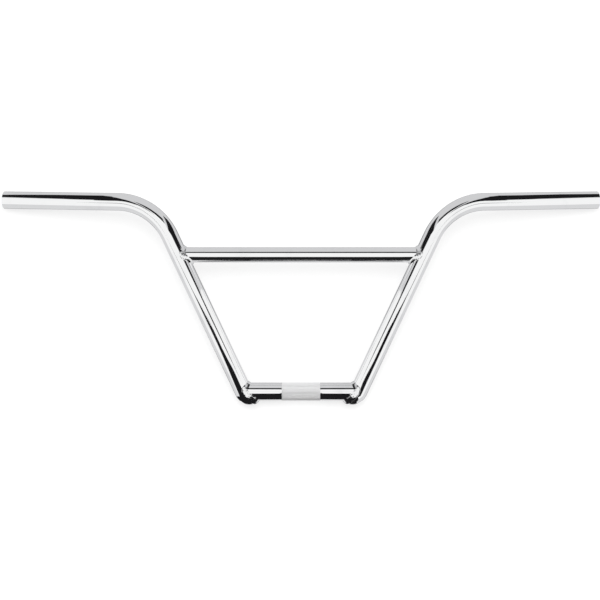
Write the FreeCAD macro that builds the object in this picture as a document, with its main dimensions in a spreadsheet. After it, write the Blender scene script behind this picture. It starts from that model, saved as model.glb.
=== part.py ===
"""A four-piece welded BMX handlebar.

Frame: +Z up, +X to the right of the front view, the rider's side at +Y, millimetres.
The origin is the middle of the clamp tube. The leg, crossbar and clamp axes lie in the plane Y = 0,
and the grip ends sweep back from it. The left half is modelled and mirrored to the right.
"""
import FreeCAD
import Part
import Sketcher
import math
import os

Vector = FreeCAD.Vector

# Driving dimensions, in millimetres and degrees
SIZES = {
    "tube_diameter": 22.2,
    "leg_wall": 1.25,
    "overall_width": 762,
    "rise": 242.5,
    "backsweep": 11,
    "upsweep": 1.5,
    "bend_radius": 76,
    "leg_angle": 25.3,
    "leg_spacing": 144.5,
    "end_chamfer": 0.4,
    "crossbar_height": 171.5,
    "crossbar_diameter": 19.05,
    "crossbar_wall": 1.0,
    "clamp_wall": 1.9,
    "knurl_length": 48,
    "knurl_swell": 0.2,
    "foot_overhang": 0.6,
    "cap_land": 0.6,
    "cap_dome": 4.7,
    "weld_leg": 3.6,
    "weld_crown": 0.8,
    "weld_root": 0.5,
    "weld_ease": 3.2,
}

# Lengths that follow from the driving dimensions, in the order in which they build on each other
LAYOUT = {
    # from the clamp axis down to the level cut of a leg
    "foot_cut": "Sizes.tube_diameter / 2 + Sizes.foot_overhang",
    # share of the grip's direction that runs sideways
    "grip_sideways": "cos(Sizes.backsweep) * cos(Sizes.upsweep)",
    # from the middle plane to the centre of a grip's end face
    "end_reach": "Sizes.overall_width / 2"
                 " - Sizes.tube_diameter / 2 * sqrt(1 - Layout.grip_sideways ^ 2)",
    # along the grip axis, from the corner where it crosses the leg axis to the end
    "grip_run": "(Layout.end_reach - Sizes.leg_spacing / 2 - Sizes.rise * tan(Sizes.leg_angle))"
                " / (Layout.grip_sideways - sin(Sizes.upsweep) * tan(Sizes.leg_angle))",
    "corner_height": "Sizes.rise - Layout.grip_run * sin(Sizes.upsweep)",
    "corner_reach": "Sizes.leg_spacing / 2 + Layout.corner_height * tan(Sizes.leg_angle)",
    "bend_angle": "acos(Layout.grip_sideways * sin(Sizes.leg_angle)"
                  " + sin(Sizes.upsweep) * cos(Sizes.leg_angle)) / 1 deg",
    "bend_tangent": "Sizes.bend_radius * tan(Layout.bend_angle / 2)",
    "grip_straight": "Layout.grip_run - Layout.bend_tangent",
    # along the leg axis, from the corner to a square end clear of the level cut
    "leg_run": "(Layout.corner_height + Layout.foot_cut) / cos(Sizes.leg_angle)"
               " + Sizes.tube_diameter * tan(Sizes.leg_angle)",
    "leg_straight": "Layout.leg_run - Layout.bend_tangent",
    # half the length of a level cut through a leg
    "foot_half_length": "Sizes.tube_diameter / 2 / cos(Sizes.leg_angle)",
    "dome_radius": "(Layout.foot_half_length ^ 2 + Sizes.cap_dome ^ 2) / (2 * Sizes.cap_dome)",
    # slope of the cone that stands for the dome, between the dome's level middle and its steep rim
    "dome_slope": "0.7 * asin(Layout.foot_half_length / Layout.dome_radius) / 1 deg",
    # from the middle plane to where the end of a cross tube is hidden inside the leg
    "crossbar_reach": "Sizes.leg_spacing / 2 + (Sizes.crossbar_height"
                      " + Sizes.crossbar_diameter / 2) * tan(Sizes.leg_angle)",
    "clamp_reach": "Sizes.leg_spacing / 2 + Sizes.tube_diameter / 2 * tan(Sizes.leg_angle)",
}

# Sections of a weld bead around the joint
BEAD_STATIONS = 16

# How far a bead's face runs on into the tubes past its toes, as a share of its half width
BEAD_TOE_RUN = 0.35

# Two lengths closer than this are the same
SAME_LENGTH = 1e-6


def make_sheet(doc):
    """Put the driving dimensions in a sheet, one named cell each."""
    sheet = doc.addObject("Spreadsheet::Sheet", "Sizes")
    for row, (alias, value) in enumerate(SIZES.items(), start=1):
        sheet.set(f"A{row}", alias)
        sheet.set(f"B{row}", str(value))
        sheet.setAlias(f"B{row}", alias)
    doc.recompute()
    return sheet


def make_layout(doc):
    """Work out the lengths that the pieces share."""
    layout = doc.addObject("App::VarSet", "Layout")
    for name, formula in LAYOUT.items():
        layout.addProperty("App::PropertyFloat", name, "Layout")
        layout.setExpression(name, formula)
    doc.recompute()
    return layout


def new_sketch(body, name, role):
    """Add a sketch on one of the body's own origin planes."""
    sketch = body.newObject("Sketcher::SketchObject", name)
    plane = next(plane for plane in body.Origin.OriginFeatures if plane.Role == role)
    sketch.AttachmentSupport = [(plane, "")]
    sketch.MapMode = "FlatFace"
    return sketch


def bind(sketch, name, constraint, formula):
    """Add a named dimension to a sketch and tie it to a formula."""
    index = sketch.addConstraint(constraint)
    sketch.renameConstraint(index, name)
    sketch.setExpression(f"Constraints.{name}", formula)


def ring_sketch(body, name, outer, inner):
    """Sketch a tube's section across X: two circles about the body's axis."""
    sketch = new_sketch(body, name, "YZ_Plane")
    for edge, formula, start in (("outer", outer, 2.0), ("inner", inner, 1.0)):
        circle = sketch.addGeometry(Part.Circle(Vector(), Vector(0, 0, 1), start))
        sketch.addConstraint(Sketcher.Constraint("Coincident", circle, 3, -1, 1))
        bind(sketch, edge, Sketcher.Constraint("Radius", circle, start), formula)
    return sketch


def circle_edges(shape, radius):
    """Number the round edges of a shape that have the given radius."""
    return [index for index, edge in enumerate(shape.Edges, start=1)
            if isinstance(edge.Curve, Part.Circle) and abs(edge.Curve.Radius - radius) < SAME_LENGTH]


def make_cut(doc, name, base, tool):
    """Cut one shape with another, leaving the faces as they are cut."""
    cut = doc.addObject("Part::Cut", name)
    cut.Base = base
    cut.Tool = tool
    cut.Refine = False
    return cut


def make_common(doc, name, base, tool):
    """Keep what two shapes share."""
    common = doc.addObject("Part::Common", name)
    common.Base = base
    common.Tool = tool
    return common


def make_block(doc, name, lengths, placement):
    """Add a block with its three sizes tied to formulas."""
    block = doc.addObject("Part::Box", name)
    for size, formula in zip(("Length", "Width", "Height"), lengths):
        block.setExpression(size, formula)
    block.Placement = placement
    return block


def make_mirror(doc, name, source):
    """Repeat a piece of the left half on the right."""
    mirror = doc.addObject("Part::Mirroring", name)
    mirror.Source = source
    mirror.Base = Vector()
    mirror.Normal = Vector(1, 0, 0)
    return mirror


def grip_outward(sizes):
    """Direction of the left grip axis, out of the bar's end."""
    back = math.radians(sizes.backsweep)
    up = math.radians(sizes.upsweep)
    return Vector(-math.cos(back) * math.cos(up), math.sin(back) * math.cos(up), math.sin(up))


def leg_downward(sizes):
    """Direction of the left leg axis, from the corner to the foot."""
    lean = math.radians(sizes.leg_angle)
    return Vector(math.sin(lean), 0, -math.cos(lean))


def leg_inward(sizes):
    """Direction across the left leg, in the plane of the legs, towards the middle of the bar."""
    lean = math.radians(sizes.leg_angle)
    return Vector(math.cos(lean), 0, math.sin(lean))


def corner(layout):
    """Point where the left leg axis crosses its grip axis."""
    return Vector(-layout.corner_reach, 0, layout.corner_height)


def bent_tube_placement(layout, sizes):
    """Put the leg's bend plane through its grip and leg axes, with its start at the grip's end."""
    outward = grip_outward(sizes)
    turn = math.radians(layout.bend_angle)
    along = outward * -1
    across = (along * math.cos(turn) - leg_downward(sizes)) * (1 / math.sin(turn))
    rotation = FreeCAD.Rotation(along, across.cross(along), across, "XZY")
    return FreeCAD.Placement(corner(layout) + outward * layout.grip_run, rotation)


def leg_axis_placement(layout, sizes):
    """A frame at the corner with Z down the leg axis and X towards the middle of the bar."""
    down = leg_downward(sizes)
    inward = leg_inward(sizes)
    rotation = FreeCAD.Rotation(inward, down.cross(inward), down, "ZXY")
    return FreeCAD.Placement(corner(layout), rotation)


def leg_path(body, layout, sizes):
    """Sketch the leg's centre line from the grip's end: grip, bend and leg."""
    path = new_sketch(body, "leg_path", "XZ_Plane")
    turn = math.radians(layout.bend_angle)
    radius = sizes.bend_radius
    bend_start = Vector(layout.grip_straight, 0, 0)
    centre = bend_start - Vector(0, radius, 0)
    bend_end = centre + Vector(math.sin(turn), math.cos(turn), 0) * radius
    foot = bend_end + Vector(math.cos(turn), -math.sin(turn), 0) * layout.leg_straight
    arc = Part.ArcOfCircle(Part.Circle(centre, Vector(0, 0, 1), radius), math.pi / 2 - turn, math.pi / 2)
    grip_line = path.addGeometry(Part.LineSegment(Vector(), bend_start))
    bend_arc = path.addGeometry(arc)
    leg_line = path.addGeometry(Part.LineSegment(bend_end, foot))
    path.addConstraint(Sketcher.Constraint("Coincident", grip_line, 1, -1, 1))
    path.addConstraint(Sketcher.Constraint("Horizontal", grip_line))
    path.addConstraint(Sketcher.Constraint("Tangent", grip_line, 2, bend_arc, 2))
    path.addConstraint(Sketcher.Constraint("Tangent", bend_arc, 1, leg_line, 1))
    bind(path, "grip", Sketcher.Constraint("Distance", grip_line, layout.grip_straight), "Layout.grip_straight")
    bind(path, "bend", Sketcher.Constraint("Radius", bend_arc, radius), "Sizes.bend_radius")
    bind(path, "turn", Sketcher.Constraint("Angle", bend_arc, turn), "Layout.bend_angle * 1 deg")
    bind(path, "leg", Sketcher.Constraint("Distance", leg_line, layout.leg_straight), "Layout.leg_straight")
    return path


def make_bent_tube(doc, layout, sizes):
    """Sweep the leg's tube along its path and break the outer edge of the bar end."""
    body = doc.addObject("PartDesign::Body", "bent_tube")
    path = leg_path(body, layout, sizes)
    section = ring_sketch(body, "leg_section", "Sizes.tube_diameter / 2",
                          "Sizes.tube_diameter / 2 - Sizes.leg_wall")
    doc.recompute()
    pipe = body.newObject("PartDesign::AdditivePipe", "leg_pipe")
    pipe.Profile = section
    pipe.Spine = path
    doc.recompute()
    rims = circle_edges(pipe.Shape, sizes.tube_diameter / 2)
    bar_end = min(rims, key=lambda index: pipe.Shape.Edges[index - 1].CenterOfMass.Length)
    chamfer = body.newObject("PartDesign::Chamfer", "bar_end_chamfer")
    chamfer.Base = (pipe, [f"Edge{bar_end}"])
    chamfer.setExpression("Size", "Sizes.end_chamfer")
    body.Tip = chamfer
    body.Placement = bent_tube_placement(layout, sizes)
    return body


def make_leg_outside(doc, layout, sizes):
    """The leg's straight outer cylinder, run on past the foot: what joins the leg is fitted to it."""
    solid = doc.addObject("Part::Cylinder", "leg_outside")
    solid.setExpression("Radius", "Sizes.tube_diameter / 2")
    solid.setExpression("Height", "Layout.leg_run + Sizes.tube_diameter")
    solid.Placement = leg_axis_placement(layout, sizes)
    return solid


def make_coper(doc, layout, sizes, leg_outside):
    """The cutter that copes a cross tube: the leg's outside and all that lies beyond its axis."""
    span = sizes.tube_diameter
    shift = FreeCAD.Placement(Vector(-2 * span, -span, 0), FreeCAD.Rotation())
    beyond = make_block(doc, "beyond_leg_axis",
                        ("2 * Sizes.tube_diameter", "2 * Sizes.tube_diameter",
                         "Layout.leg_run + Sizes.tube_diameter"),
                        leg_axis_placement(layout, sizes).multiply(shift))
    coper = doc.addObject("Part::Fuse", "left_coper")
    coper.Base = leg_outside
    coper.Tool = beyond
    return coper


def make_below_foot(doc, layout, sizes):
    """A block under the level cut of the left foot."""
    low = Vector(-sizes.leg_spacing, -sizes.tube_diameter, -layout.foot_cut - 2 * sizes.tube_diameter)
    return make_block(doc, "below_foot",
                      ("Sizes.leg_spacing", "2 * Sizes.tube_diameter", "2 * Sizes.tube_diameter"),
                      FreeCAD.Placement(low, FreeCAD.Rotation()))


def make_foot_cap(doc, layout, sizes, leg_outside, below_foot):
    """Close the left foot: an oval plug in line with the tube, crowned below to a small flat."""
    stock = make_common(doc, "foot_cap_stock", leg_outside, below_foot)
    crown = doc.addObject("Part::Cone", "foot_cap_crown")
    crown.setExpression("Height", "2 * Sizes.cap_dome")
    crown.setExpression("Radius1", "Layout.dome_radius * tan(Layout.dome_slope / 2)")
    crown.setExpression("Radius2", "Layout.dome_radius * tan(Layout.dome_slope / 2)"
                                   " + 2 * Sizes.cap_dome / tan(Layout.dome_slope)")
    rim_depth = layout.foot_cut + sizes.cap_land
    rim_reach = sizes.leg_spacing / 2 - rim_depth * math.tan(math.radians(sizes.leg_angle))
    crown.Placement.Base = Vector(-rim_reach, 0, -rim_depth - sizes.cap_dome)
    return make_common(doc, "left_foot_cap", stock, crown)


def make_cross_tube(doc, name, reach, outer, inner, height):
    """A straight tube along X, long enough to end inside the legs."""
    body = doc.addObject("PartDesign::Body", f"{name}_stock")
    pad = body.newObject("PartDesign::Pad", f"{name}_pad")
    pad.Profile = ring_sketch(body, f"{name}_section", outer, inner)
    pad.SideType = "Symmetric"
    pad.setExpression("Length", f"2 * {reach}")
    body.Tip = pad
    body.Placement.Base = Vector(0, 0, height)
    return body


def add_knurl_band(body):
    """Raise the knurled band in the middle of the clamp tube."""
    band = body.newObject("PartDesign::Pad", "knurl_band")
    band.Profile = ring_sketch(body, "knurl_section", "Sizes.tube_diameter / 2 + Sizes.knurl_swell",
                               "Sizes.tube_diameter / 2 - Sizes.clamp_wall")
    band.SideType = "Symmetric"
    band.setExpression("Length", "Sizes.knurl_length")
    body.Tip = band


def make_rod(doc, name, reach, outer, start):
    """The filled outside of a cross tube, which its welds are fitted to."""
    rod = doc.addObject("Part::Cylinder", name)
    rod.setExpression("Radius", outer)
    rod.setExpression("Height", f"2 * {reach}")
    rod.Placement = FreeCAD.Placement(start, FreeCAD.Rotation(Vector(0, 1, 0), 90))
    return rod


def seam_point(sizes, radius, height, turn):
    """A point of a weld's line between a cross tube and the left leg, and the normals of both there.

    The line follows the seam at the top and bottom of the cross tube. Where the seam of two equal
    tubes turns sharply, at the front and back, the line rounds the corner weld_ease short of it.
    """
    lean = math.radians(sizes.leg_angle)
    leg_radius = sizes.tube_diameter / 2
    tube_normal = Vector(0, -math.cos(turn), math.sin(turn))
    y = radius * tube_normal.y
    z = height + radius * tube_normal.z
    ease = sizes.weld_ease * (y / leg_radius) ** 2
    depth = math.sqrt(leg_radius ** 2 - y ** 2 + ease ** 2)
    axis_reach = sizes.leg_spacing / 2 + z * math.tan(lean)
    point = Vector(depth / math.cos(lean) - axis_reach, y, z)
    leg_normal = (Vector(0, y, 0) + leg_inward(sizes) * depth).normalize()
    return point, leg_normal, tube_normal


def bead_section(sizes, radius, height, turn):
    """Corners of one section of a weld bead.

    The face runs from weld_leg up one tube to weld_leg up the other, with a ridge of weld_crown
    between them, and on into both tubes. The last corner lies weld_root below the seam.
    """
    step = math.pi / BEAD_STATIONS
    point, leg_normal, tube_normal = seam_point(sizes, radius, height, turn)
    ahead = seam_point(sizes, radius, height, turn + step)[0]
    behind = seam_point(sizes, radius, height, turn - step)[0]
    outward = (leg_normal + tube_normal).normalize()
    across = (ahead - behind).normalize().cross(outward).normalize()
    half_opening = (math.pi - leg_normal.getAngle(tube_normal)) / 2
    toe_height = sizes.weld_leg * math.cos(half_opening)
    edge_height = toe_height - sizes.weld_crown * BEAD_TOE_RUN
    edge_width = sizes.weld_leg * math.sin(half_opening) * (1 + BEAD_TOE_RUN)
    return [point + across * edge_width + outward * edge_height,
            point + outward * (toe_height + sizes.weld_crown),
            point - across * edge_width + outward * edge_height,
            point - outward * sizes.weld_root]


def triangle(corners):
    return Part.Face(Part.makePolygon([*corners, corners[0]]))


def bead_stock(sizes, radius, height):
    """The ring of a weld bead, in flat faces, still running into both tubes."""
    sections = [bead_section(sizes, radius, height, 2 * math.pi * station / BEAD_STATIONS)
                for station in range(BEAD_STATIONS)]
    faces = []
    for here, there in zip(sections, sections[1:] + sections[:1]):
        for side in range(len(here)):
            following = (side + 1) % len(here)
            faces.append(triangle([here[side], there[side], there[following]]))
            faces.append(triangle([here[side], there[following], here[following]]))
    ring = Part.Compound(faces)
    ring.sewShape()
    return Part.Solid(ring)


def make_weld(doc, sizes, name, radius, height, leg_outside, rod):
    """A weld bead all round the left end of a cross tube, seated on the tube and on the leg."""
    stock = doc.addObject("Part::Feature", f"{name}_stock")
    stock.Shape = bead_stock(sizes, radius, height)
    off_tube = make_cut(doc, f"{name}_off_tube", stock, rod)
    return make_cut(doc, name, off_tube, leg_outside)


def build(doc):
    """Make every sub-part and return them by name."""
    sizes = make_sheet(doc)
    layout = make_layout(doc)
    below_foot = make_below_foot(doc, layout, sizes)
    leg_outside = make_leg_outside(doc, layout, sizes)
    left_coper = make_coper(doc, layout, sizes, leg_outside)
    right_coper = make_mirror(doc, "right_coper", left_coper)
    parts = {
        "left_leg": make_cut(doc, "left_leg", make_bent_tube(doc, layout, sizes), below_foot),
        "left_foot_cap": make_foot_cap(doc, layout, sizes, leg_outside, below_foot),
    }
    tube_radius = "Sizes.tube_diameter / 2"
    crossbar_radius = "Sizes.crossbar_diameter / 2"
    crossbar = make_cross_tube(doc, "crossbar", "Layout.crossbar_reach", crossbar_radius,
                               f"{crossbar_radius} - Sizes.crossbar_wall", sizes.crossbar_height)
    clamp_tube = make_cross_tube(doc, "clamp_tube", "Layout.clamp_reach", tube_radius,
                                 f"{tube_radius} - Sizes.clamp_wall", 0)
    add_knurl_band(clamp_tube)
    for name, stock in (("crossbar", crossbar), ("clamp_tube", clamp_tube)):
        half_coped = make_cut(doc, f"{name}_half_coped", stock, left_coper)
        parts[name] = make_cut(doc, name, half_coped, right_coper)
    crossbar_rod = make_rod(doc, "crossbar_outside", "Layout.crossbar_reach", crossbar_radius,
                            Vector(-layout.crossbar_reach, 0, sizes.crossbar_height))
    clamp_rod = make_rod(doc, "clamp_outside", "Layout.clamp_reach", tube_radius,
                         Vector(-layout.clamp_reach, 0, 0))
    parts["crossbar_weld_left"] = make_weld(doc, sizes, "crossbar_weld_left", sizes.crossbar_diameter / 2,
                                            sizes.crossbar_height, leg_outside, crossbar_rod)
    parts["clamp_weld_left"] = make_weld(doc, sizes, "clamp_weld_left", sizes.tube_diameter / 2,
                                         0, leg_outside, clamp_rod)
    for name in [name for name in parts if "left" in name]:
        other = name.replace("left", "right")
        parts[other] = make_mirror(doc, other, parts[name])
    doc.recompute()
    for name, part in parts.items():
        part.Label = name
    return parts


def check(doc, parts):
    """Stop if any object failed, or if a sub-part isn't one good solid."""
    for item in doc.Objects:
        if "Invalid" in item.State or "Error" in item.State:
            raise RuntimeError(f"{item.Name} failed: {item.State}")
    for name, part in parts.items():
        shape = part.Shape
        if shape.isNull() or not shape.isValid() or len(shape.Solids) != 1:
            raise RuntimeError(f"{name} isn't one valid solid")


def main():
    doc = FreeCAD.newDocument("Handlebar")
    parts = build(doc)
    check(doc, parts)
    os.makedirs("parts", exist_ok=True)
    for part in parts.values():
        part.Shape.exportStep(f"parts/{part.Label}.step")
        print(f"{part.Label}: {part.Shape.Volume:.0f} mm3")


if __name__ == "__main__":
    main()
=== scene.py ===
"""A welded chrome BMX handlebar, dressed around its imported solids, with its stage.

Frame: +Z up, +X to the right of the front view, the rider's side at +Y, metres.
The origin is the middle of the clamp tube. The leg, crossbar and clamp axes lie in the plane Y = 0.
"""
import math
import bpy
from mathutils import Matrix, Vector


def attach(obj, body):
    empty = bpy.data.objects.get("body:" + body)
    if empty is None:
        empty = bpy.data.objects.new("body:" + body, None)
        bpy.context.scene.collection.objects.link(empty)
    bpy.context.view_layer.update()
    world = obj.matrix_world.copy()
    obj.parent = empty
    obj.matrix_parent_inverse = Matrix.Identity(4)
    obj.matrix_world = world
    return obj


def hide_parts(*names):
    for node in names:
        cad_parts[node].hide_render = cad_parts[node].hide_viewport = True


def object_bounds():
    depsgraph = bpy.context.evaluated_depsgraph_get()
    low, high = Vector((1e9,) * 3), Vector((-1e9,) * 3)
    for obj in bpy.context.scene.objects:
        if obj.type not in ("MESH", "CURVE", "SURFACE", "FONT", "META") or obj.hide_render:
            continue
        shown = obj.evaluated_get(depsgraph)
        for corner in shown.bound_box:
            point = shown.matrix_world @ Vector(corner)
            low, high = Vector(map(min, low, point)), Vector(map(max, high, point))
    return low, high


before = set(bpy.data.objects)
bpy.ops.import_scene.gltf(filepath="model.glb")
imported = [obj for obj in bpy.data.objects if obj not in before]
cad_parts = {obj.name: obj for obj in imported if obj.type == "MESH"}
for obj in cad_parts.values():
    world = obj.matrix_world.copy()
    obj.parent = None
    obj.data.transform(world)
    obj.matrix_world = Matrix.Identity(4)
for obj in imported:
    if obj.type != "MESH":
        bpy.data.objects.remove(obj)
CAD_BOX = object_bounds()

from types import SimpleNamespace

import bpy
from bpy.props import FloatProperty, FloatVectorProperty, IntProperty, PointerProperty
from bpy.types import Operator, Panel, PropertyGroup
from mathutils import Vector

bl_info = {
    "name": "BMX Handlebar",
    "version": (1, 0, 0),
    "blender": (4, 5, 0),
    "location": "View3D > Sidebar > Handlebar",
    "description": "Models a welded chrome handlebar around its packed solids, and its stage",
    "category": "Add Mesh",
}

# How finely the round shapes are divided; a torus takes 256 stations at most
TUBE_SIDES = 128
CLAMP_SIDES = 132
BEND_STEPS = 64
END_ROUND_STEPS = 3
FOOT_RINGS = 10
CAP_RINGS = 25
BEAD_STATIONS = 256
BEAD_SIDES = 24

# Points closer than this are the same place, and points this close to a plane lie on it
SAME_PLACE = 1e-6
ON_PLANE = 2e-5

# Edges that turn by more than this stay sharp, in degrees
TUBE_CREASE = 35
CLAMP_CREASE = 20
CAP_CREASE = 40
BEAD_CREASE = 60

# A diamond of the knurl: its length for its width, and its slopes' width for half its own
KNURL_STRETCH = 1.5
KNURL_SLOPE = 0.62
# How far the clamp tube's seat and the sleeve's lining lie below the knurl's grooves
KNURL_SEAT = 5e-5
KNURL_LINING = 2.5e-5

# Waves in the width of a bead: share of the width, number round the tube and phase
BEAD_WAVES = ((0.05, 5, 1), (0.03, 13, 0))
# How far the ripples bow back at the toes, and the turn over which a bead's direction is taken
RIPPLE_BOW = 1.1
BEAD_STEP = 0.02

# Lay of the two sets of wiping scratches, and how thin they are across it
SCRATCH_TURNS = ((0.3, 0.5, 0.2), (-0.4, 1.1, 0.9))
SCRATCH_STRETCH = (1.0, 26.0, 26.0)

# The backdrop passes just behind the feet, and behind the bar ends this much higher
SHEET_SIZE = 8
SHEET_FOOT_Y = 0.0125
SHEET_FOOT_Z = -0.017
SHEET_RISE = 0.258
SHEET_GLOW = 0.62

WALL_SIZE = 14
WALL_Y = 3

LAMP_PLACE = (0, -3.3, 1.5)
LAMP_AIM = (0, 0, 0.1)
LAMP_SIZE = 2.2
LAMP_POWER = 70

# Of the camera, in millimetres
SENSOR_WIDTH = 36

# Heights of the level cards that the chrome reflects, and the gap between cards that overlap
FOOT_CARD_HEIGHT = -0.06
LOW_SIDE_HEIGHT = -0.1
LOW_HEIGHT = -0.36
FLOOR_HEIGHT = -0.9
HIGH_HEIGHT = 1.2
CARD_GAP = 0.01

# Outlines of these cards, seen from above; those by side are for +X
LOW_CARD = ((-0.22, 0.42), (-0.10, 0.28), (0.03, 0.22), (0.11, 0.27), (0.22, 0.40), (0.22, -0.85),
            (-0.22, -0.85))
LOW_SIDE_EDGE = ((0.42, -0.43), (0.56, -0.60), (0.64, -0.72), (1.00, -0.90), (0.66, -0.95),
                 (0.62, -1.25), (0.53, -1.80), (0.42, -3.60), (0.23, -1.00), (0.19, -0.50),
                 (0.11, -0.35))
LOW_SIDE_CARDS = {
    "left": ((0.10, -0.06), (0.245, -0.06), (0.30, -0.14), (0.345, -0.25), *LOW_SIDE_EDGE),
    "right": ((0.10, -0.19), (0.25, -0.19), (0.29, -0.25), (0.345, -0.32), *LOW_SIDE_EDGE),
}
FOOT_EDGE = ((-0.01, 0.0), (-0.02, -0.03), (-0.03, -0.2), (0.022, -0.2), (0.022, -0.067),
             (0.066, -0.068), (0.078, -0.2))
FOOT_CARDS = {
    "left": ((0.17, 0.1), (0.085, 0.1), (0.085, 0.0), *FOOT_EDGE, (0.14, -0.2), (0.17, 0.0)),
    "right": ((0.09, 0.0), *FOOT_EDGE, (0.115, -0.2), (0.105, -0.04)),
}
LOW_PALE_CARD = ((-3.0, -0.4), (3.0, -0.4), (3.0, 2.8), (-3.0, 2.8))
LOW_BACK_CARD = ((-1.8, 1.9), (1.8, 1.9), (2.4, 2.6), (-2.4, 2.6))
HIGH_STRIP = ((-0.5, -1.11), (0.5, -0.99), (0.5, -2.05), (-0.5, -2.05))
HIGH_PANEL = ((-0.38, 0.0), (0.38, 0.0), (0.38, -1.0), (-0.38, -1.1))
HIGH_SIDE_EDGE = ((1.66, -0.36), (1.90, -0.50), (1.66, -0.80), (1.70, -1.60), (1.92, -2.10),
                  (2.00, -2.70), (2.60, -3.60), (3.20, -5.20), (2.20, -5.20), (1.56, -3.60),
                  (0.70, -3.60), (0.75, -2.60), (0.79, -1.75), (0.76, -1.10), (0.68, -0.54),
                  (0.60, -0.27))
HIGH_SIDE_CARDS = {
    "left": ((0.57, -0.02), (0.63, 0.0), (0.68, 0.03), (0.76, 0.06), (0.95, 0.03),
             *HIGH_SIDE_EDGE),
    "right": ((0.57, -0.02), (0.65, 0.02), (0.70, 0.08), (0.78, 0.20), (0.95, 0.22),
              *HIGH_SIDE_EDGE),
}
HIGH_CEILING = ((-2.0, 3.0), (2.0, 3.0), (2.0, -4.6), (0.6, -3.6), (0.5, -1.15), (-0.5, -1.15),
                (-0.6, -3.6), (-2.0, -4.6))
HIGH_BACK_CARD = ((-2.0, 1.7), (2.0, 1.7), (2.6, 2.9), (-2.6, 2.9))

# Outlines of the dark flags in front of the lower legs, seen from the front, for +X
LEG_FLAG_Y = -0.12
LEG_FLAGS = {
    "left": ((0.070, -0.040), (0.070, 0.014), (0.071, 0.025), (0.079, 0.031), (0.097, 0.036),
             (0.106, 0.045), (0.131, 0.046), (0.143, 0.053), (0.169, 0.040), (0.149, -0.002),
             (0.131, -0.040)),
    "right": ((0.083, -0.034), (0.083, -0.014), (0.079, -0.008), (0.070, 0.008), (0.070, 0.012),
              (0.078, 0.018), (0.094, 0.024), (0.110, 0.030), (0.133, 0.032), (0.159, 0.019),
              (0.149, -0.002), (0.134, -0.034)),
}


def length(name, description, default):
    """A length property, in metres."""
    return FloatProperty(name=name, description=description, default=default, min=0, precision=5,
                         unit="LENGTH", subtype="DISTANCE")


def angle(name, description, degrees):
    """An angle property, its default given in degrees."""
    return FloatProperty(name=name, description=description, default=math.radians(degrees),
                         subtype="ANGLE")


def colour(name, description, default):
    """A colour property."""
    return FloatVectorProperty(name=name, description=description, default=default, size=3,
                               min=0, max=1, subtype="COLOR")


class HandlebarSizes(PropertyGroup):
    """Sizes of the bar's pieces."""

    tube_diameter: length("Tube diameter", "Outer diameter of the legs and the clamp tube", 0.0222)
    leg_wall: length("Leg wall", "Wall of the leg tubes", 0.00125)
    overall_width: length("Overall width", "From one bar end to the other", 0.762)
    rise: length("Rise", "From the clamp axis up to the middle of a bar end", 0.2425)
    back_sweep: angle("Back sweep", "How far the grip ends turn back", 11)
    up_sweep: angle("Up sweep", "How far the grip ends turn up", 1.5)
    bend_radius: length("Bend radius", "Of the middle line of a leg's bend", 0.076)
    leg_angle: angle("Leg angle", "Lean of the legs from upright", 25.3)
    leg_spacing: length("Leg spacing", "Between the leg axes, level with the clamp axis", 0.1445)
    end_round: length("End round", "Rounding of the outer edge of a bar end", 0.0004)
    crossbar_height: length("Crossbar height", "From the clamp axis to the crossbar axis", 0.1715)
    crossbar_diameter: length("Crossbar diameter", "Outer diameter of the crossbar", 0.01905)
    crossbar_wall: length("Crossbar wall", "Wall of the crossbar", 0.001)
    clamp_wall: length("Clamp wall", "Wall of the clamp tube", 0.0019)
    knurl_length: length("Knurl length", "Of the knurled band on the clamp tube", 0.048)
    knurl_swell: length("Knurl swell", "From the tube up to the crests of the knurl", 0.0002)
    knurl_depth: length("Knurl depth", "From the crests of the knurl to its grooves", 0.0002)
    knurl_diamonds: IntProperty(name="Knurl diamonds", description="Diamonds around the band",
                                default=52, min=8)
    foot_overhang: length("Foot overhang", "From the clamp tube's underside to a leg's level cut",
                          0.0006)
    foot_depth: length("Foot depth", "From the clamp axis down to the bottom of a foot", 0.017)
    foot_round: length("Foot round", "Height above its bottom where a foot starts to round", 0.012)
    weld_leg: length("Weld leg", "Reach of a weld bead along each tube", 0.0028)
    weld_crown: length("Weld crown", "How far a weld bead bulges between the tubes", 0.0001)
    weld_root: length("Weld root", "How deep a weld bead lies below the seam", 0.0005)
    weld_ease: length("Weld ease", "How far a bead rounds the seam's corner of two equal tubes",
                      0.0032)
    weld_pitch: length("Weld pitch", "Between the ripples of a weld bead", 0.0021)
    weld_ripple: length("Weld ripple", "Height of the ripples of a weld bead", 0.00005)
    weld_sink: length("Weld sink", "How much deeper the clamp's beads lie under the feet", 0.0024)


class HandlebarFinish(PropertyGroup):
    """Colours and polish of the plating."""

    chrome: colour("Chrome", "Polished plating on the tubes", (0.9, 0.903, 0.906))
    chrome_dull: colour("Dull chrome", "Plating under a haze of handling", (0.82, 0.824, 0.83))
    knurl: colour("Knurl", "Bright matt plating on the knurled band", (0.9, 0.9, 0.902))
    weld: colour("Weld chrome", "Plating over the weld beads", (0.88, 0.883, 0.887))
    weld_dull: colour("Weld hollows", "Plating in the pits and hollows of the beads",
                      (0.68, 0.684, 0.69))
    bore: colour("Bore", "Thin plating inside the bar ends", (0.42, 0.42, 0.43))
    bore_dull: colour("Dull bore", "Drawn steel inside the bar ends", (0.2, 0.195, 0.19))
    polish: FloatProperty(name="Polish", description="Roughness of the clean plating", default=0.03,
                          min=0, max=1, subtype="FACTOR")


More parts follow.
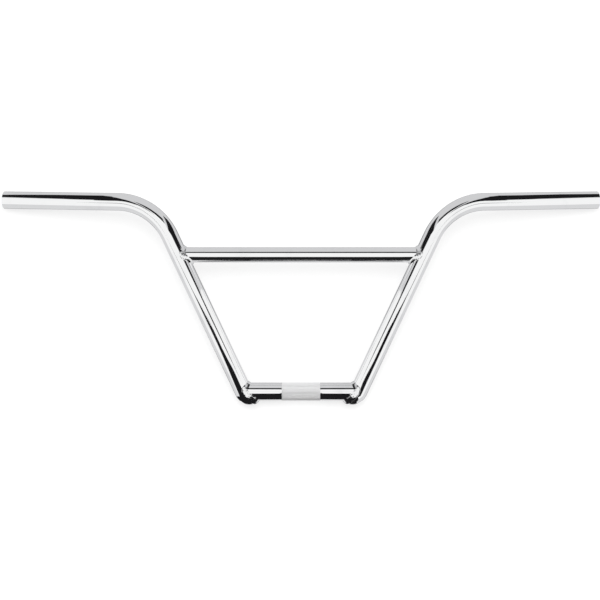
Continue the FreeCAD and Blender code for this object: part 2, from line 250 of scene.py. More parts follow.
class HandlebarStage(PropertyGroup):
    """The stage around the bar."""

    backdrop: colour("Backdrop", "Pale sheet that the bar lies against", (0.34, 0.34, 0.34))
    dark_card: colour("Dark cards", "Cards that draw the dark lines in the chrome",
                      (0.012, 0.012, 0.013))
    grey_card: colour("Grey cards", "Panel and ceiling above the bar", (0.68, 0.68, 0.69))
    dim_card: colour("Dim cards", "Cards that draw softer lines in the back of the bar",
                     (0.15, 0.15, 0.155))
    pale_card: colour("Pale cards", "Wall behind the bar and card below it", (0.74, 0.74, 0.75))
    camera_distance: length("Camera distance", "From the camera to the plane of the legs", 2.0)
    view_width: length("View width", "Width of the picture in the plane of the legs", 0.753)
    view_height: length("View height", "From the clamp axis up to the picture's middle", 0.1148)
    view_shift: length("View shift", "How far the picture's middle lies to the left of the bar's",
                       0.00126)


def plan(sizes):
    """Work out the directions and lengths that the pieces share, for the left half."""
    up, back, lean = sizes.up_sweep, sizes.back_sweep, sizes.leg_angle
    radius = sizes.tube_diameter / 2
    outward = Vector((-math.cos(back) * math.cos(up), math.sin(back) * math.cos(up), math.sin(up)))
    downward = Vector((math.sin(lean), 0, -math.cos(lean)))
    end_reach = sizes.overall_width / 2 - radius * math.sqrt(1 - outward.x ** 2)
    grip_run = ((end_reach - sizes.leg_spacing / 2 - sizes.rise * math.tan(lean))
                / (-outward.x - outward.z * math.tan(lean)))
    corner_height = sizes.rise - grip_run * outward.z
    corner = Vector((-sizes.leg_spacing / 2 - corner_height * math.tan(lean), 0, corner_height))
    bend_angle = (-outward).angle(downward)
    tangent = sizes.bend_radius * math.tan(bend_angle / 2)
    foot_cut = radius + sizes.foot_overhang
    bend_start = corner + outward * tangent
    to_centre = (downward + outward * downward.dot(-outward)).normalized()
    return SimpleNamespace(
        radius=radius, outward=outward, downward=downward,
        bar_end=corner + outward * grip_run, grip_straight=grip_run - tangent,
        bend_centre=bend_start + to_centre * sizes.bend_radius,
        bend_axis=(-outward).cross(downward).normalized(), bend_angle=bend_angle,
        leg_straight=(corner_height + foot_cut) / math.cos(lean) + sizes.tube_diameter - tangent,
        foot_cut=foot_cut)


def leg_axis_reach(sizes, height):
    """How far a leg's axis lies from the middle plane at a height."""
    return sizes.leg_spacing / 2 + height * math.tan(sizes.leg_angle)


def foot_turn(sizes, height):
    """How far round the foot's end a height lies, from 0 up to a quarter turn at its bottom."""
    start = sizes.foot_round - sizes.foot_depth
    return math.asin(min(max((start - height) / sizes.foot_round, 0), 1))


def foot_height(sizes, turn):
    """The height that lies this far round the foot's end."""
    return sizes.foot_round * (1 - math.sin(turn)) - sizes.foot_depth


def deselect_everything():
    """Leave edit mode and clear the selection."""
    if bpy.context.mode != "OBJECT":
        bpy.ops.object.mode_set(mode="OBJECT")
    bpy.ops.object.select_all(action="DESELECT")


def activate(piece):
    """Make a piece the only selected object."""
    deselect_everything()
    piece.select_set(True)
    bpy.context.view_layer.objects.active = piece


def take_new_piece(name):
    """Name the object just added and put its place into its mesh."""
    piece = bpy.context.object
    piece.name = name
    piece.data.name = name
    bpy.ops.object.transform_apply(location=True, rotation=True, scale=True)
    return piece


def edit_all(piece):
    """Enter edit mode with the whole piece selected."""
    activate(piece)
    bpy.ops.object.mode_set(mode="EDIT")
    bpy.ops.mesh.select_mode(type="VERT")
    bpy.ops.mesh.select_all(action="SELECT")


def edit_edges(piece, wanted):
    """Enter edit mode with only the edges selected whose start and end pass a test."""
    edit_all(piece)
    bpy.ops.mesh.select_mode(type="EDGE")
    bpy.ops.mesh.select_all(action="DESELECT")
    bpy.ops.object.mode_set(mode="OBJECT")
    points = piece.data.vertices
    for edge in piece.data.edges:
        edge.select = wanted(*(points[index].co for index in edge.vertices))
    if not any(edge.select for edge in piece.data.edges):
        raise RuntimeError(f"{piece.name} has no such edges")
    bpy.ops.object.mode_set(mode="EDIT")


def extrude(offset):
    """Extrude what is selected by an offset."""
    bpy.ops.mesh.extrude_region_move(TRANSFORM_OT_translate={"value": offset})


def scale_ring(factors, centre):
    """Scale what is selected about a centre."""
    bpy.ops.transform.resize(value=factors, center_override=centre)


def apply_modifier(piece, kind, **settings):
    """Add a modifier to a piece and apply it."""
    activate(piece)
    modifier = piece.modifiers.new(kind.title(), kind)
    for setting, value in settings.items():
        setattr(modifier, setting, value)
    bpy.ops.object.modifier_apply(modifier=modifier.name)


def thicken(piece, wall, inside=0):
    """Give a tube's outer shell its wall, on the inside, with the finish of a slot for the bore."""
    apply_modifier(piece, "SOLIDIFY", thickness=wall, offset=-1, use_even_offset=True,
                   material_offset=inside)


def smooth(piece, degrees):
    """Shade a piece smooth, except edges that turn by more."""
    activate(piece)
    bpy.ops.object.shade_smooth_by_angle(angle=math.radians(degrees))


def face_outward(piece):
    """Turn a piece's faces outward."""
    edit_all(piece)
    bpy.ops.mesh.normals_make_consistent(inside=False)
    bpy.ops.object.mode_set(mode="OBJECT")


def close_shell(piece):
    """Merge doubles and turn the faces outward."""
    edit_all(piece)
    bpy.ops.mesh.remove_doubles(threshold=SAME_PLACE)
    bpy.ops.mesh.normals_make_consistent(inside=False)
    bpy.ops.object.mode_set(mode="OBJECT")


def mirrored(piece, name):
    """A copy of a piece on the other side of the middle plane, with its own mesh."""
    activate(piece)
    bpy.ops.object.duplicate()
    copy = bpy.context.object
    copy.name = name
    copy.data.name = name
    edit_all(copy)
    bpy.ops.transform.resize(value=(-1, 1, 1), center_override=(0, 0, 0))
    bpy.ops.mesh.flip_normals()
    bpy.ops.object.mode_set(mode="OBJECT")
    return copy


def hand_over(piece, node):
    """Hand a finished piece to the frame in place of its solid."""
    if not piece.data.polygons:
        raise RuntimeError(f"{piece.name} has no faces")
    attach(piece, "root")
    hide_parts(node)


def new_group(name, inputs, outputs):
    """A shader node group with float, colour or vector sockets."""
    group = bpy.data.node_groups.new(name, "ShaderNodeTree")
    for label, kind, value in inputs:
        socket = group.interface.new_socket(label, in_out="INPUT", socket_type=f"NodeSocket{kind}")
        if value is not None:
            socket.default_value = value
    for label, kind in outputs:
        group.interface.new_socket(label, in_out="OUTPUT", socket_type=f"NodeSocket{kind}")
    source = group.nodes.new("NodeGroupInput")
    sink = group.nodes.new("NodeGroupOutput")
    return group, source, sink


def add_node(tree, kind, settings=None, **values):
    """Add a node, set its own settings and the values of its input sockets."""
    node = tree.nodes.new(f"ShaderNode{kind}")
    for setting, value in (settings or {}).items():
        setattr(node, setting, value)
    for label, value in values.items():
        node.inputs[label.replace("_", " ")].default_value = value
    return node


def math_node(tree, operation, first, second):
    """Combine two values, each a number or an output socket."""
    node = add_node(tree, "Math", {"operation": operation})
    for socket, value in zip(node.inputs, (first, second)):
        if isinstance(value, (int, float)):
            socket.default_value = value
        else:
            tree.links.new(value, socket)
    return node.outputs[0]


def haze_group():
    """Faint clouds of haze left by handling: 0 where the plating is clean, 1 where it is dull."""
    if "plating_haze" in bpy.data.node_groups:
        return bpy.data.node_groups["plating_haze"]
    group, source, sink = new_group(
        "plating_haze",
        [("Vector", "Vector", None), ("Scale", "Float", 30.0), ("Clean Share", "Float", 0.5)],
        [("Haze", "Float")])
    clouds = add_node(group, "TexNoise", Detail=5.0, Roughness=0.62)
    group.links.new(source.outputs["Vector"], clouds.inputs["Vector"])
    group.links.new(source.outputs["Scale"], clouds.inputs["Scale"])
    spread = add_node(group, "MapRange", {"interpolation_type": "SMOOTHSTEP"}, From_Max=0.78)
    group.links.new(clouds.outputs["Fac"], spread.inputs["Value"])
    group.links.new(source.outputs["Clean Share"], spread.inputs["From Min"])
    group.links.new(spread.outputs["Result"], sink.inputs["Haze"])
    return group


def hairline_group():
    """Fine wiping scratches in two directions: 1 on a scratch, 0 beside it."""
    if "hairlines" in bpy.data.node_groups:
        return bpy.data.node_groups["hairlines"]
    group, source, sink = new_group(
        "hairlines",
        [("Vector", "Vector", None), ("Scale", "Float", 120.0)],
        [("Scratch", "Float")])
    marks = []
    for turn in SCRATCH_TURNS:
        lay = add_node(group, "Mapping", Rotation=turn, Scale=SCRATCH_STRETCH)
        group.links.new(source.outputs["Vector"], lay.inputs["Vector"])
        streaks = add_node(group, "TexNoise", Detail=2.0, Roughness=0.5)
        group.links.new(lay.outputs["Vector"], streaks.inputs["Vector"])
        group.links.new(source.outputs["Scale"], streaks.inputs["Scale"])
        thin = add_node(group, "MapRange", From_Min=0.66, From_Max=0.74)
        group.links.new(streaks.outputs["Fac"], thin.inputs["Value"])
        marks.append(thin.outputs["Result"])
    group.links.new(math_node(group, "MAXIMUM", *marks), sink.inputs["Scratch"])
    return group


def waves_group():
    """The slow waves and fine grain that polishing leaves in a plated tube, as a height."""
    if "polishing_waves" in bpy.data.node_groups:
        return bpy.data.node_groups["polishing_waves"]
    group, source, sink = new_group(
        "polishing_waves",
        [("Vector", "Vector", None), ("Wave Scale", "Float", 40.0), ("Grain Scale", "Float", 900.0),
         ("Grain Share", "Float", 0.1)],
        [("Height", "Float")])
    heights = []
    for label, detail in (("Wave Scale", 1.0), ("Grain Scale", 3.0)):
        bumps = add_node(group, "TexNoise", Detail=detail)
        group.links.new(source.outputs["Vector"], bumps.inputs["Vector"])
        group.links.new(source.outputs[label], bumps.inputs["Scale"])
        heights.append(bumps.outputs["Fac"])
    grain = math_node(group, "MULTIPLY", heights[1], source.outputs["Grain Share"])
    group.links.new(math_node(group, "ADD", heights[0], grain), sink.inputs["Height"])
    return group


def plating(name, clean, dull, roughness, haze, waves, bump_height, metal=1.0):
    """A chrome plating: bright where it is clean, duller and rougher under haze and scratches."""
    material = bpy.data.materials.new(name)
    material.use_nodes = True
    tree = material.node_tree
    shader = tree.nodes["Principled BSDF"]
    shader.inputs["Metallic"].default_value = metal
    place = add_node(tree, "TexCoord")
    clouds = add_node(tree, "Group", {"node_tree": haze_group()}, **haze)
    scratches = add_node(tree, "Group", {"node_tree": hairline_group()})
    surface = add_node(tree, "Group", {"node_tree": waves_group()}, **waves)
    for group in (clouds, scratches, surface):
        tree.links.new(place.outputs["Object"], group.inputs["Vector"])
    tint = add_node(tree, "Mix", {"data_type": "RGBA"})
    tint.inputs["A"].default_value = (*clean, 1)
    tint.inputs["B"].default_value = (*dull, 1)
    tree.links.new(clouds.outputs["Haze"], tint.inputs["Factor"])
    tree.links.new(tint.outputs["Result"], shader.inputs["Base Color"])
    hazy = math_node(tree, "MULTIPLY", clouds.outputs["Haze"], roughness["haze"])
    scratched = math_node(tree, "MULTIPLY", scratches.outputs["Scratch"], roughness["scratch"])
    rough = math_node(tree, "ADD", math_node(tree, "ADD", hazy, scratched), roughness["clean"])
    tree.links.new(rough, shader.inputs["Roughness"])
    bump = add_node(tree, "Bump", Strength=1.0, Distance=bump_height)
    tree.links.new(surface.outputs["Height"], bump.inputs["Height"])
    tree.links.new(bump.outputs["Normal"], shader.inputs["Normal"])
    return material


def chrome_plate(context):
    """Polished plating of the tubes and caps."""
    finish = context.scene.handlebar_finish
    return bpy.data.materials.get("chrome_plate") or plating(
        "chrome_plate", finish.chrome, finish.chrome_dull,
        roughness={"clean": finish.polish, "haze": 0.05, "scratch": 0.06},
        haze={"Scale": 28.0, "Clean_Share": 0.5},
        waves={"Wave_Scale": 45.0, "Grain_Scale": 1500.0, "Grain_Share": 0.004},
        bump_height=0.00004)


def knurl_plate(context):
    """Satin plating of the knurled band."""
    finish = context.scene.handlebar_finish
    return bpy.data.materials.get("knurl_plate") or plating(
        "knurl_plate", finish.knurl, finish.chrome,
        roughness={"clean": 0.3, "haze": 0.08, "scratch": 0.04},
        haze={"Scale": 160.0, "Clean_Share": 0.42},
        waves={"Wave_Scale": 300.0, "Grain_Scale": 2200.0, "Grain_Share": 0.2},
        bump_height=0.00003, metal=0.62)


def bore_plate(context):
    """Dull plating inside the legs."""
    finish = context.scene.handlebar_finish
    return bpy.data.materials.get("bore_plate") or plating(
        "bore_plate", finish.bore, finish.bore_dull,
        roughness={"clean": 0.38, "haze": 0.15, "scratch": 0.05},
        haze={"Scale": 90.0, "Clean_Share": 0.4},
        waves={"Wave_Scale": 200.0, "Grain_Scale": 1800.0, "Grain_Share": 0.3},
        bump_height=0.00004)


def weld_plate(context):
    """Plating over the weld beads, less smooth than the tubes'."""
    finish = context.scene.handlebar_finish
    return bpy.data.materials.get("weld_plate") or plating(
        "weld_plate", finish.weld, finish.weld_dull,
        roughness={"clean": finish.polish + 0.07, "haze": 0.12, "scratch": 0.04},
        haze={"Scale": 260.0, "Clean_Share": 0.5},
        waves={"Wave_Scale": 420.0, "Grain_Scale": 2600.0, "Grain_Share": 0.06},
        bump_height=0.00002)


class HANDLEBAR_OT_add_legs(Operator):
    """Sweep the two bent leg tubes, from the bar ends down to the feet"""

    bl_idname = "handlebar.add_legs"
    bl_label = "Legs"

    def execute(self, context):
        sizes = context.scene.handlebar_sizes
        shape = plan(sizes)
        deselect_everything()
        bpy.ops.mesh.primitive_circle_add(
            vertices=TUBE_SIDES, radius=shape.radius, location=shape.bar_end,
            rotation=(-shape.outward).to_track_quat("Z", "Y").to_euler())
        left = take_new_piece("bent_leg_left")
        edit_all(left)
        extrude(-shape.outward * shape.grip_straight)
        # a positive angle would spin against the axis
        bpy.ops.mesh.spin(steps=BEND_STEPS, angle=-shape.bend_angle, center=shape.bend_centre,
                          axis=shape.bend_axis)
        extrude(shape.downward * shape.leg_straight)
        bpy.ops.mesh.select_all(action="SELECT")
        bpy.ops.mesh.bisect(plane_co=(0, 0, -shape.foot_cut), plane_no=(0, 0, -1),
                            clear_outer=True)
        bpy.ops.object.mode_set(mode="OBJECT")
        self.round_foot(left, sizes, shape)
        close_shell(left)
        right = mirrored(left, "bent_leg_right")
        for leg, side in ((left, "left"), (right, "right")):
            leg.data.materials.append(chrome_plate(context))
            leg.data.materials.append(bore_plate(context))
            thicken(leg, sizes.leg_wall, inside=1)
            self.round_bar_end(leg, shape, sizes)
            smooth(leg, TUBE_CREASE)
            hand_over(leg, f"{side}_leg")
        return {"FINISHED"}

    def round_foot(self, leg, sizes, shape):
        """Draw the foot in ring by ring, as it is ground round."""
        edit_all(leg)
        last_turn = foot_turn(sizes, -shape.foot_cut)
        for ring in range(FOOT_RINGS):
            height = foot_height(sizes, last_turn * ring / FOOT_RINGS)
            bpy.ops.mesh.select_all(action="SELECT")
            bpy.ops.mesh.bisect(plane_co=(0, 0, height), plane_no=(0, 0, -1))
        bpy.ops.object.mode_set(mode="OBJECT")
        for vertex in leg.data.vertices:
            share = math.cos(foot_turn(sizes, vertex.co.z))
            middle = -leg_axis_reach(sizes, vertex.co.z)
            if share < 1:
                vertex.co.x = middle + (vertex.co.x - middle) * share
                vertex.co.y *= share

    def round_bar_end(self, leg, shape, sizes):
        """Break the sharp edges of the open bar end, inside and out."""
        def on_end_face(point):
            beside_left = Vector((-abs(point.x), point.y, point.z))
            return abs((beside_left - shape.bar_end).dot(shape.outward)) < ON_PLANE
        edit_edges(leg, lambda start, end: on_end_face(start) and on_end_face(end))
        bpy.ops.mesh.bevel(offset=sizes.end_round, segments=END_ROUND_STEPS, affect="EDGES")
        bpy.ops.object.mode_set(mode="OBJECT")


def cope_ends(piece, sizes, reach):
    """Draw both end rings of a cross tube onto the legs' surfaces."""
    radius = sizes.tube_diameter / 2
    for point in piece.data.vertices:
        if abs(point.co.x) > reach - ON_PLANE:
            depth = math.sqrt(max(radius ** 2 - point.co.y ** 2, 0))
            seam = leg_axis_reach(sizes, point.co.z) - depth / math.cos(sizes.leg_angle)
            point.co.x = math.copysign(seam, point.co.x)


class HANDLEBAR_OT_add_crossbar(Operator):
    """Fit the crossbar between the legs, its ends coped to them"""

    bl_idname = "handlebar.add_crossbar"
    bl_label = "Crossbar"

    def execute(self, context):
        sizes = context.scene.handlebar_sizes
        reach = leg_axis_reach(sizes, sizes.crossbar_height)
        deselect_everything()
        bpy.ops.mesh.primitive_cylinder_add(
            vertices=TUBE_SIDES, radius=sizes.crossbar_diameter / 2, depth=2 * reach,
            end_fill_type="NOTHING", location=(0, 0, sizes.crossbar_height),
            rotation=(0, math.pi / 2, 0))
        crossbar = take_new_piece("crossbar_tube")
        thicken(crossbar, sizes.crossbar_wall)
        cope_ends(crossbar, sizes, reach)
        smooth(crossbar, TUBE_CREASE)
        crossbar.data.materials.append(chrome_plate(context))
        hand_over(crossbar, "crossbar")
        return {"FINISHED"}


class HANDLEBAR_OT_add_clamp_tube(Operator):
    """Fit the clamp tube between the feet and cut its diamond knurl"""

    bl_idname = "handlebar.add_clamp_tube"
    bl_label = "Clamp tube"

    def execute(self, context):
        sizes = context.scene.handlebar_sizes
        radius = sizes.tube_diameter / 2
        reach = leg_axis_reach(sizes, 0)
        tube = self.grooved_tube(sizes, radius, reach)
        tube.data.materials.append(chrome_plate(context))
        knurl = self.knurl_band(sizes, radius)
        knurl.data.materials.append(knurl_plate(context))
        activate(tube)
        knurl.select_set(True)
        bpy.ops.object.join()
        smooth(tube, CLAMP_CREASE)
        hand_over(tube, "clamp_tube")
        return {"FINISHED"}

    def grooved_tube(self, sizes, radius, reach):
        """The coped tube, with a shallow seat turned for the knurled band."""
        half_band = sizes.knurl_length / 2
        seat = (radius + sizes.knurl_swell - sizes.knurl_depth - KNURL_SEAT) / radius
        deselect_everything()
        bpy.ops.mesh.primitive_circle_add(vertices=CLAMP_SIDES, radius=radius,
                                          location=(-reach, 0, 0), rotation=(0, math.pi / 2, 0))
        tube = take_new_piece("knurled_clamp_tube")
        edit_all(tube)
        extrude((reach - half_band, 0, 0))
        extrude((0, 0, 0))
        scale_ring((1, seat, seat), (-half_band, 0, 0))
        extrude((2 * half_band, 0, 0))
        extrude((0, 0, 0))
        scale_ring((1, 1 / seat, 1 / seat), (half_band, 0, 0))
        extrude((reach - half_band, 0, 0))
        face_outward(tube)
        thicken(tube, sizes.clamp_wall)
        cope_ends(tube, sizes, reach)
        return tube

    def knurl_band(self, sizes, radius):
        """A sleeve of raised diamonds, cut by two sets of crossing grooves."""
        columns = 2 * sizes.knurl_diamonds
        base = radius + sizes.knurl_swell - sizes.knurl_depth
        half_width = 2 * math.pi * radius / columns
        rows = 2 * round(sizes.knurl_length / (2 * half_width * KNURL_STRETCH))
        deselect_everything()
        bpy.ops.mesh.primitive_cylinder_add(
            vertices=columns, radius=base, depth=sizes.knurl_length, end_fill_type="NOTHING",
            rotation=(0, math.pi / 2, 0))
        band = take_new_piece("knurl_band")
        edit_edges(band, lambda start, end: abs(start.x - end.x) > sizes.knurl_length / 2)
        bpy.ops.mesh.subdivide(number_cuts=rows - 1)
        # taking out every other corner of the grid leaves diamonds
        bpy.ops.mesh.select_all(action="SELECT")
        bpy.ops.mesh.unsubdivide(iterations=1)
        bpy.ops.mesh.select_all(action="SELECT")
        bpy.ops.mesh.normals_make_consistent(inside=False)
        bpy.ops.mesh.select_mode(type="FACE")
        bpy.ops.mesh.select_all(action="SELECT")
        bpy.ops.mesh.inset(use_individual=True, thickness=half_width * KNURL_SLOPE,
                           depth=sizes.knurl_depth)
        self.line_band(base)
        bpy.ops.object.mode_set(mode="OBJECT")
        if len(band.data.polygons) <= columns * rows:
            raise RuntimeError("the knurl has not all its diamonds")
        return band

    def line_band(self, base):
        """Close the sleeve with a plain face inside, clear of its seat."""
        inside = (base - KNURL_LINING) / base
        bpy.ops.mesh.select_mode(type="EDGE")
        bpy.ops.mesh.select_all(action="DESELECT")
        bpy.ops.mesh.select_non_manifold(extend=False, use_wire=False, use_boundary=True,
                                         use_multi_face=False, use_non_contiguous=False,
                                         use_verts=False)
        extrude((0, 0, 0))
        scale_ring((1, inside, inside), (0, 0, 0))
        bpy.ops.mesh.bridge_edge_loops()
        bpy.ops.mesh.select_all(action="SELECT")
        bpy.ops.mesh.normals_make_consistent(inside=False)


class HANDLEBAR_OT_add_foot_caps(Operator):
    """Close both feet with domed oval caps"""

    bl_idname = "handlebar.add_foot_caps"
    bl_label = "Foot caps"

    def execute(self, context):
        sizes = context.scene.handlebar_sizes
        shape = plan(sizes)
        left = self.domed_cap(sizes, shape)
        right = mirrored(left, "foot_cap_right")
        for cap, side in ((left, "left"), (right, "right")):
            smooth(cap, CAP_CREASE)
            cap.data.materials.append(chrome_plate(context))
            hand_over(cap, f"{side}_foot_cap")
        return {"FINISHED"}

    def domed_cap(self, sizes, shape):
        """The rest of the round foot, below the leg's cut."""
        half_long = shape.radius / math.cos(sizes.leg_angle)
        first_turn = foot_turn(sizes, -shape.foot_cut)
        share = math.cos(first_turn)
        middle = Vector((-leg_axis_reach(sizes, -shape.foot_cut), 0, -shape.foot_cut))
        deselect_everything()
        bpy.ops.mesh.primitive_circle_add(
            vertices=TUBE_SIDES, radius=shape.radius, fill_type="NGON", location=middle,
            scale=(half_long / shape.radius, 1, 1))
        cap = take_new_piece("foot_cap_left")
        edit_all(cap)
        scale_ring((share, share, 1), middle)
        for ring in range(1, CAP_RINGS):
            turn = first_turn + (math.pi / 2 - first_turn) * ring / CAP_RINGS
            height = foot_height(sizes, turn)
            below = Vector((-leg_axis_reach(sizes, height), 0, height))
            extrude(below - middle)
            scale_ring((math.cos(turn) / share, math.cos(turn) / share, 1), below)
            share, middle = math.cos(turn), below
        extrude((0, 0, -sizes.foot_depth - middle.z))
        bpy.ops.mesh.merge(type="CENTER")
        bpy.ops.object.mode_set(mode="OBJECT")
        close_shell(cap)
        return cap


def seam_point(sizes, radius, height, turn):
    """A point of a bead's line between a cross tube and the left leg, and both normals there.

    The line follows the seam at the top and bottom of the cross tube, and rounds the corner that
    the seam of two equal tubes has at the front and back.
    """
    lean = sizes.leg_angle
    leg_radius = sizes.tube_diameter / 2
    tube_normal = Vector((0, -math.cos(turn), math.sin(turn)))
    y, z = radius * tube_normal.y, height + radius * tube_normal.z
    ease = sizes.weld_ease * (y / leg_radius) ** 2
    depth = math.sqrt(leg_radius ** 2 - y ** 2 + ease ** 2)
    point = Vector((depth / math.cos(lean) - leg_axis_reach(sizes, z), y, z))
    inward = Vector((math.cos(lean), 0, math.sin(lean)))
    return point, (Vector((0, y, 0)) + inward * depth).normalized(), tube_normal


class HANDLEBAR_OT_add_welds(Operator):
    """Lay a rippled weld bead round each end of the crossbar and the clamp tube"""

    bl_idname = "handlebar.add_welds"
    bl_label = "Weld beads"

    def execute(self, context):
        sizes = context.scene.handlebar_sizes
        for joint, radius, height, sink in (
                ("crossbar", sizes.crossbar_diameter / 2, sizes.crossbar_height, 0),
                ("clamp", sizes.tube_diameter / 2, 0, sizes.weld_sink)):
            left = self.bead(sizes, f"{joint}_bead_left", radius, height, sink)
            right = mirrored(left, f"{joint}_bead_right")
            for bead, side in ((left, "left"), (right, "right")):
                smooth(bead, BEAD_CREASE)
                bead.data.materials.append(weld_plate(context))
                hand_over(bead, f"{joint}_weld_{side}")
        return {"FINISHED"}

    def bead(self, sizes, name, radius, height, sink):
        """Lay a torus along the seam, with its ripples."""
        deselect_everything()
        bpy.ops.mesh.primitive_torus_add(major_segments=BEAD_STATIONS, minor_segments=BEAD_SIDES,
                                         major_radius=radius, minor_radius=sizes.weld_leg / 2)
        bead = take_new_piece(name)
        if len(bead.data.vertices) != BEAD_STATIONS * BEAD_SIDES:
            raise RuntimeError(f"{name} has not all its stations")
        ripples = round(2 * math.pi * (radius + sizes.weld_leg / 2) / sizes.weld_pitch)
        for index, vertex in enumerate(bead.data.vertices):
            station, step = divmod(index, BEAD_SIDES)
            turn = 2 * math.pi * station / BEAD_STATIONS
            around = 2 * math.pi * step / BEAD_SIDES
            # the sink is for the tube's underside and fades out towards its front and back
            root = sizes.weld_root + sink * max(-math.sin(turn), 0) ** 3
            vertex.co = self.bead_point(sizes, radius, height, turn, around, root, ripples)
        face_outward(bead)
        return bead

    def bead_point(self, sizes, radius, height, turn, around, root, ripples):
        """A point of the bead's oval section, raised where a ripple passes."""
        point, leg_normal, tube_normal = seam_point(sizes, radius, height, turn)
        ahead = seam_point(sizes, radius, height, turn + BEAD_STEP)[0]
        behind = seam_point(sizes, radius, height, turn - BEAD_STEP)[0]
        outward = (leg_normal + tube_normal).normalized()
        across = (ahead - behind).normalized().cross(outward).normalized()
        half_opening = (math.pi - leg_normal.angle(tube_normal)) / 2
        toe_height = sizes.weld_leg * math.cos(half_opening)
        half_height = (toe_height + sizes.weld_crown + root) / 2
        middle = half_height - root
        toe_share = math.sqrt(1 - ((toe_height - middle) / half_height) ** 2)
        unsteady = 1 + sum(share * math.sin(waves * turn + phase)
                           for share, waves, phase in BEAD_WAVES)
        half_width = sizes.weld_leg * math.sin(half_opening) / toe_share * unsteady
        # each ripple bows back towards the toes, as a cooling puddle leaves it
        ripple = ripples * turn / 2 + RIPPLE_BOW * math.cos(around) ** 2
        rise = sizes.weld_ripple * math.cos(ripple) ** 2 * max(math.sin(around), 0)
        lift = middle + half_height * math.sin(around) + rise - sizes.weld_ripple / 2
        return point + across * (half_width * math.cos(around)) + outward * lift


def level(outline, height, flip=1):
    """The corners of a level card, on the other side of the middle plane where flip is -1."""
    return [(flip * x, y, height) for x, y in outline]


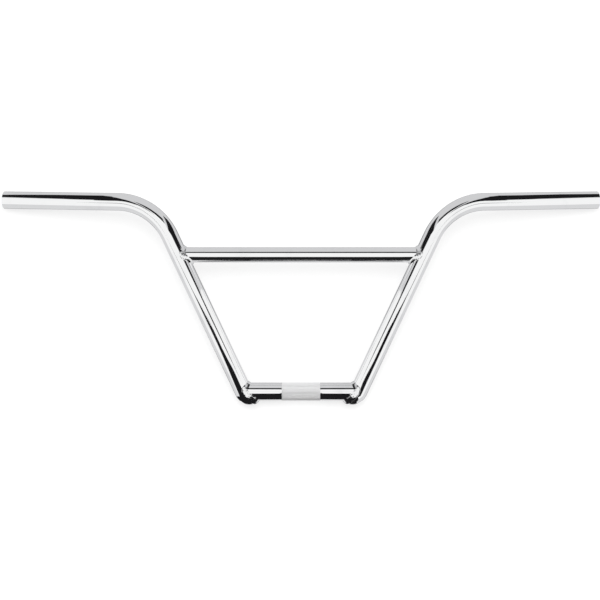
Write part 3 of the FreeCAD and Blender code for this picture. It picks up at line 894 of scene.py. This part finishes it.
class HANDLEBAR_OT_add_stage(Operator):
    """Set the backdrop, the cards that the chrome reflects, the lamp and the camera"""

    bl_idname = "handlebar.add_stage"
    bl_label = "Stage"

    def execute(self, context):
        stage = context.scene.handlebar_stage
        self.backdrop(stage)
        dark = self.card_material("dark_card", stage.dark_card)
        grey = self.card_material("grey_card", stage.grey_card)
        dim = self.card_material("dim_card", stage.dim_card)
        pale = self.card_material("pale_card", stage.pale_card)
        self.card("low_dark_card", dark, level(LOW_CARD, LOW_HEIGHT))
        self.card("low_pale_card", pale, level(LOW_PALE_CARD, FLOOR_HEIGHT))
        self.card("low_back_card", dim, level(LOW_BACK_CARD, FLOOR_HEIGHT + CARD_GAP))
        self.card("high_dark_strip", dark, level(HIGH_STRIP, HIGH_HEIGHT))
        self.card("high_grey_card", grey, level(HIGH_PANEL, HIGH_HEIGHT - CARD_GAP))
        self.card("high_grey_ceiling", grey, level(HIGH_CEILING, HIGH_HEIGHT + CARD_GAP))
        self.card("high_back_card", dim, level(HIGH_BACK_CARD, HIGH_HEIGHT))
        self.wall(pale)
        for side, flip in (("left", -1), ("right", 1)):
            self.card(f"low_dark_card_{side}", dark,
                      level(LOW_SIDE_CARDS[side], LOW_SIDE_HEIGHT, flip))
            self.card(f"foot_dark_card_{side}", dark,
                      level(FOOT_CARDS[side], FOOT_CARD_HEIGHT, flip))
            self.card(f"leg_flag_{side}", dark,
                      [(flip * x, LEG_FLAG_Y, z) for x, z in LEG_FLAGS[side]])
            self.card(f"high_dark_card_{side}", dark,
                      level(HIGH_SIDE_CARDS[side], HIGH_HEIGHT, flip))
        self.lamp()
        self.world(context)
        self.camera(context, stage)
        context.scene.view_settings.view_transform = "Standard"
        return {"FINISHED"}

    def card(self, name, material, corners):
        """A flat card that only reflections see."""
        deselect_everything()
        bpy.ops.mesh.primitive_circle_add(vertices=len(corners), fill_type="NGON")
        card = take_new_piece(name)
        for vertex, corner in zip(card.data.vertices, corners):
            vertex.co = corner
        self.show_in_reflections(card, material)

    def wall(self, material):
        """A wall behind the bar that only reflections see."""
        deselect_everything()
        bpy.ops.mesh.primitive_plane_add(size=WALL_SIZE, location=(0, WALL_Y, 0),
                                         rotation=(math.pi / 2, 0, 0))
        self.show_in_reflections(take_new_piece("back_wall"), material)

    def show_in_reflections(self, card, material):
        """Give a card its material and hide it from all but reflections."""
        card.data.materials.append(material)
        card.visible_camera = False
        card.visible_diffuse = False
        card.visible_shadow = False
        card.visible_transmission = False

    def card_material(self, name, tint):
        """A plain glow, so that a card looks the same in every reflection."""
        material = bpy.data.materials.new(name)
        material.use_nodes = True
        tree = material.node_tree
        tree.nodes.remove(tree.nodes["Principled BSDF"])
        glow = add_node(tree, "Emission", Color=(*tint, 1))
        tree.links.new(glow.outputs["Emission"], tree.nodes["Material Output"].inputs["Surface"])
        return material

    def backdrop(self, stage):
        """A pale sheet behind the bar that shows its soft shadow, and nothing from behind."""
        deselect_everything()
        bpy.ops.mesh.primitive_plane_add(size=SHEET_SIZE, rotation=(math.pi / 2, 0, 0))
        sheet = take_new_piece("backdrop")
        slope = (CAD_BOX[1][1] - SHEET_FOOT_Y) / SHEET_RISE
        for corner in sheet.data.vertices:
            corner.co.y = SHEET_FOOT_Y + (corner.co.z - SHEET_FOOT_Z) * slope
        material = bpy.data.materials.new("backdrop_sheet")
        material.use_nodes = True
        tree = material.node_tree
        tree.nodes.remove(tree.nodes["Principled BSDF"])
        cloth = add_node(tree, "BsdfDiffuse", Color=(*stage.backdrop, 1))
        glow = add_node(tree, "Emission", Strength=SHEET_GLOW)
        lit = add_node(tree, "AddShader")
        tree.links.new(cloth.outputs["BSDF"], lit.inputs[0])
        tree.links.new(glow.outputs["Emission"], lit.inputs[1])
        clear = add_node(tree, "BsdfTransparent")
        facing = add_node(tree, "NewGeometry")
        seen = add_node(tree, "MixShader")
        tree.links.new(facing.outputs["Backfacing"], seen.inputs["Fac"])
        tree.links.new(lit.outputs["Shader"], seen.inputs[1])
        tree.links.new(clear.outputs["BSDF"], seen.inputs[2])
        tree.links.new(seen.outputs["Shader"], tree.nodes["Material Output"].inputs["Surface"])
        sheet.data.materials.append(material)
        sheet.visible_glossy = False

    def lamp(self):
        """One wide soft lamp in front of the bar and above it, out of sight in the chrome."""
        deselect_everything()
        bpy.ops.object.light_add(type="AREA", location=LAMP_PLACE)
        lamp = bpy.context.object
        lamp.name = "soft_lamp"
        lamp.data.size = LAMP_SIZE
        lamp.data.energy = LAMP_POWER
        beam = Vector(LAMP_AIM) - lamp.location
        lamp.rotation_euler = beam.to_track_quat("-Z", "Y").to_euler()
        lamp.visible_glossy = False

    def world(self, context):
        """Even pale light all round."""
        world = context.scene.world or bpy.data.worlds.new("studio")
        context.scene.world = world
        world.use_nodes = True
        sky = world.node_tree.nodes["Background"]
        sky.inputs["Color"].default_value = (1, 1, 1, 1)
        sky.inputs["Strength"].default_value = 1.0

    def camera(self, context, stage):
        """Look straight at the bar's front, as wide as the view."""
        deselect_everything()
        bpy.ops.object.camera_add(
            location=(-stage.view_shift, -stage.camera_distance, stage.view_height),
            rotation=(math.pi / 2, 0, 0))
        camera = bpy.context.object
        camera.name = "front_camera"
        camera.data.sensor_width = SENSOR_WIDTH
        camera.data.lens = SENSOR_WIDTH * stage.camera_distance / stage.view_width
        context.scene.camera = camera


class HANDLEBAR_PT_tools(Panel):
    """The handlebar's steps, in order, and its sizes and finishes"""

    bl_idname = "HANDLEBAR_PT_tools"
    bl_label = "BMX Handlebar"
    bl_space_type = "VIEW_3D"
    bl_region_type = "UI"
    bl_category = "Handlebar"

    def draw(self, context):
        layout = self.layout
        for operator in OPERATORS:
            layout.operator(operator.bl_idname)
        for group in ("handlebar_sizes", "handlebar_finish", "handlebar_stage"):
            owner = getattr(context.scene, group)
            box = layout.box()
            for name in owner.__annotations__:
                box.prop(owner, name)


GROUPS = (HandlebarSizes, HandlebarFinish, HandlebarStage)
OPERATORS = (
    HANDLEBAR_OT_add_legs,
    HANDLEBAR_OT_add_crossbar,
    HANDLEBAR_OT_add_clamp_tube,
    HANDLEBAR_OT_add_foot_caps,
    HANDLEBAR_OT_add_welds,
    HANDLEBAR_OT_add_stage,
)


def register():
    for item in (*GROUPS, *OPERATORS, HANDLEBAR_PT_tools):
        bpy.utils.register_class(item)
    bpy.types.Scene.handlebar_sizes = PointerProperty(type=HandlebarSizes)
    bpy.types.Scene.handlebar_finish = PointerProperty(type=HandlebarFinish)
    bpy.types.Scene.handlebar_stage = PointerProperty(type=HandlebarStage)


def unregister():
    del bpy.types.Scene.handlebar_stage
    del bpy.types.Scene.handlebar_finish
    del bpy.types.Scene.handlebar_sizes
    for item in reversed((*GROUPS, *OPERATORS, HANDLEBAR_PT_tools)):
        bpy.utils.unregister_class(item)


def main():
    register()
    bpy.ops.handlebar.add_legs()
    bpy.ops.handlebar.add_crossbar()
    bpy.ops.handlebar.add_clamp_tube()
    bpy.ops.handlebar.add_foot_caps()
    bpy.ops.handlebar.add_welds()
    bpy.ops.handlebar.add_stage()


if __name__ == "__main__":
    main()
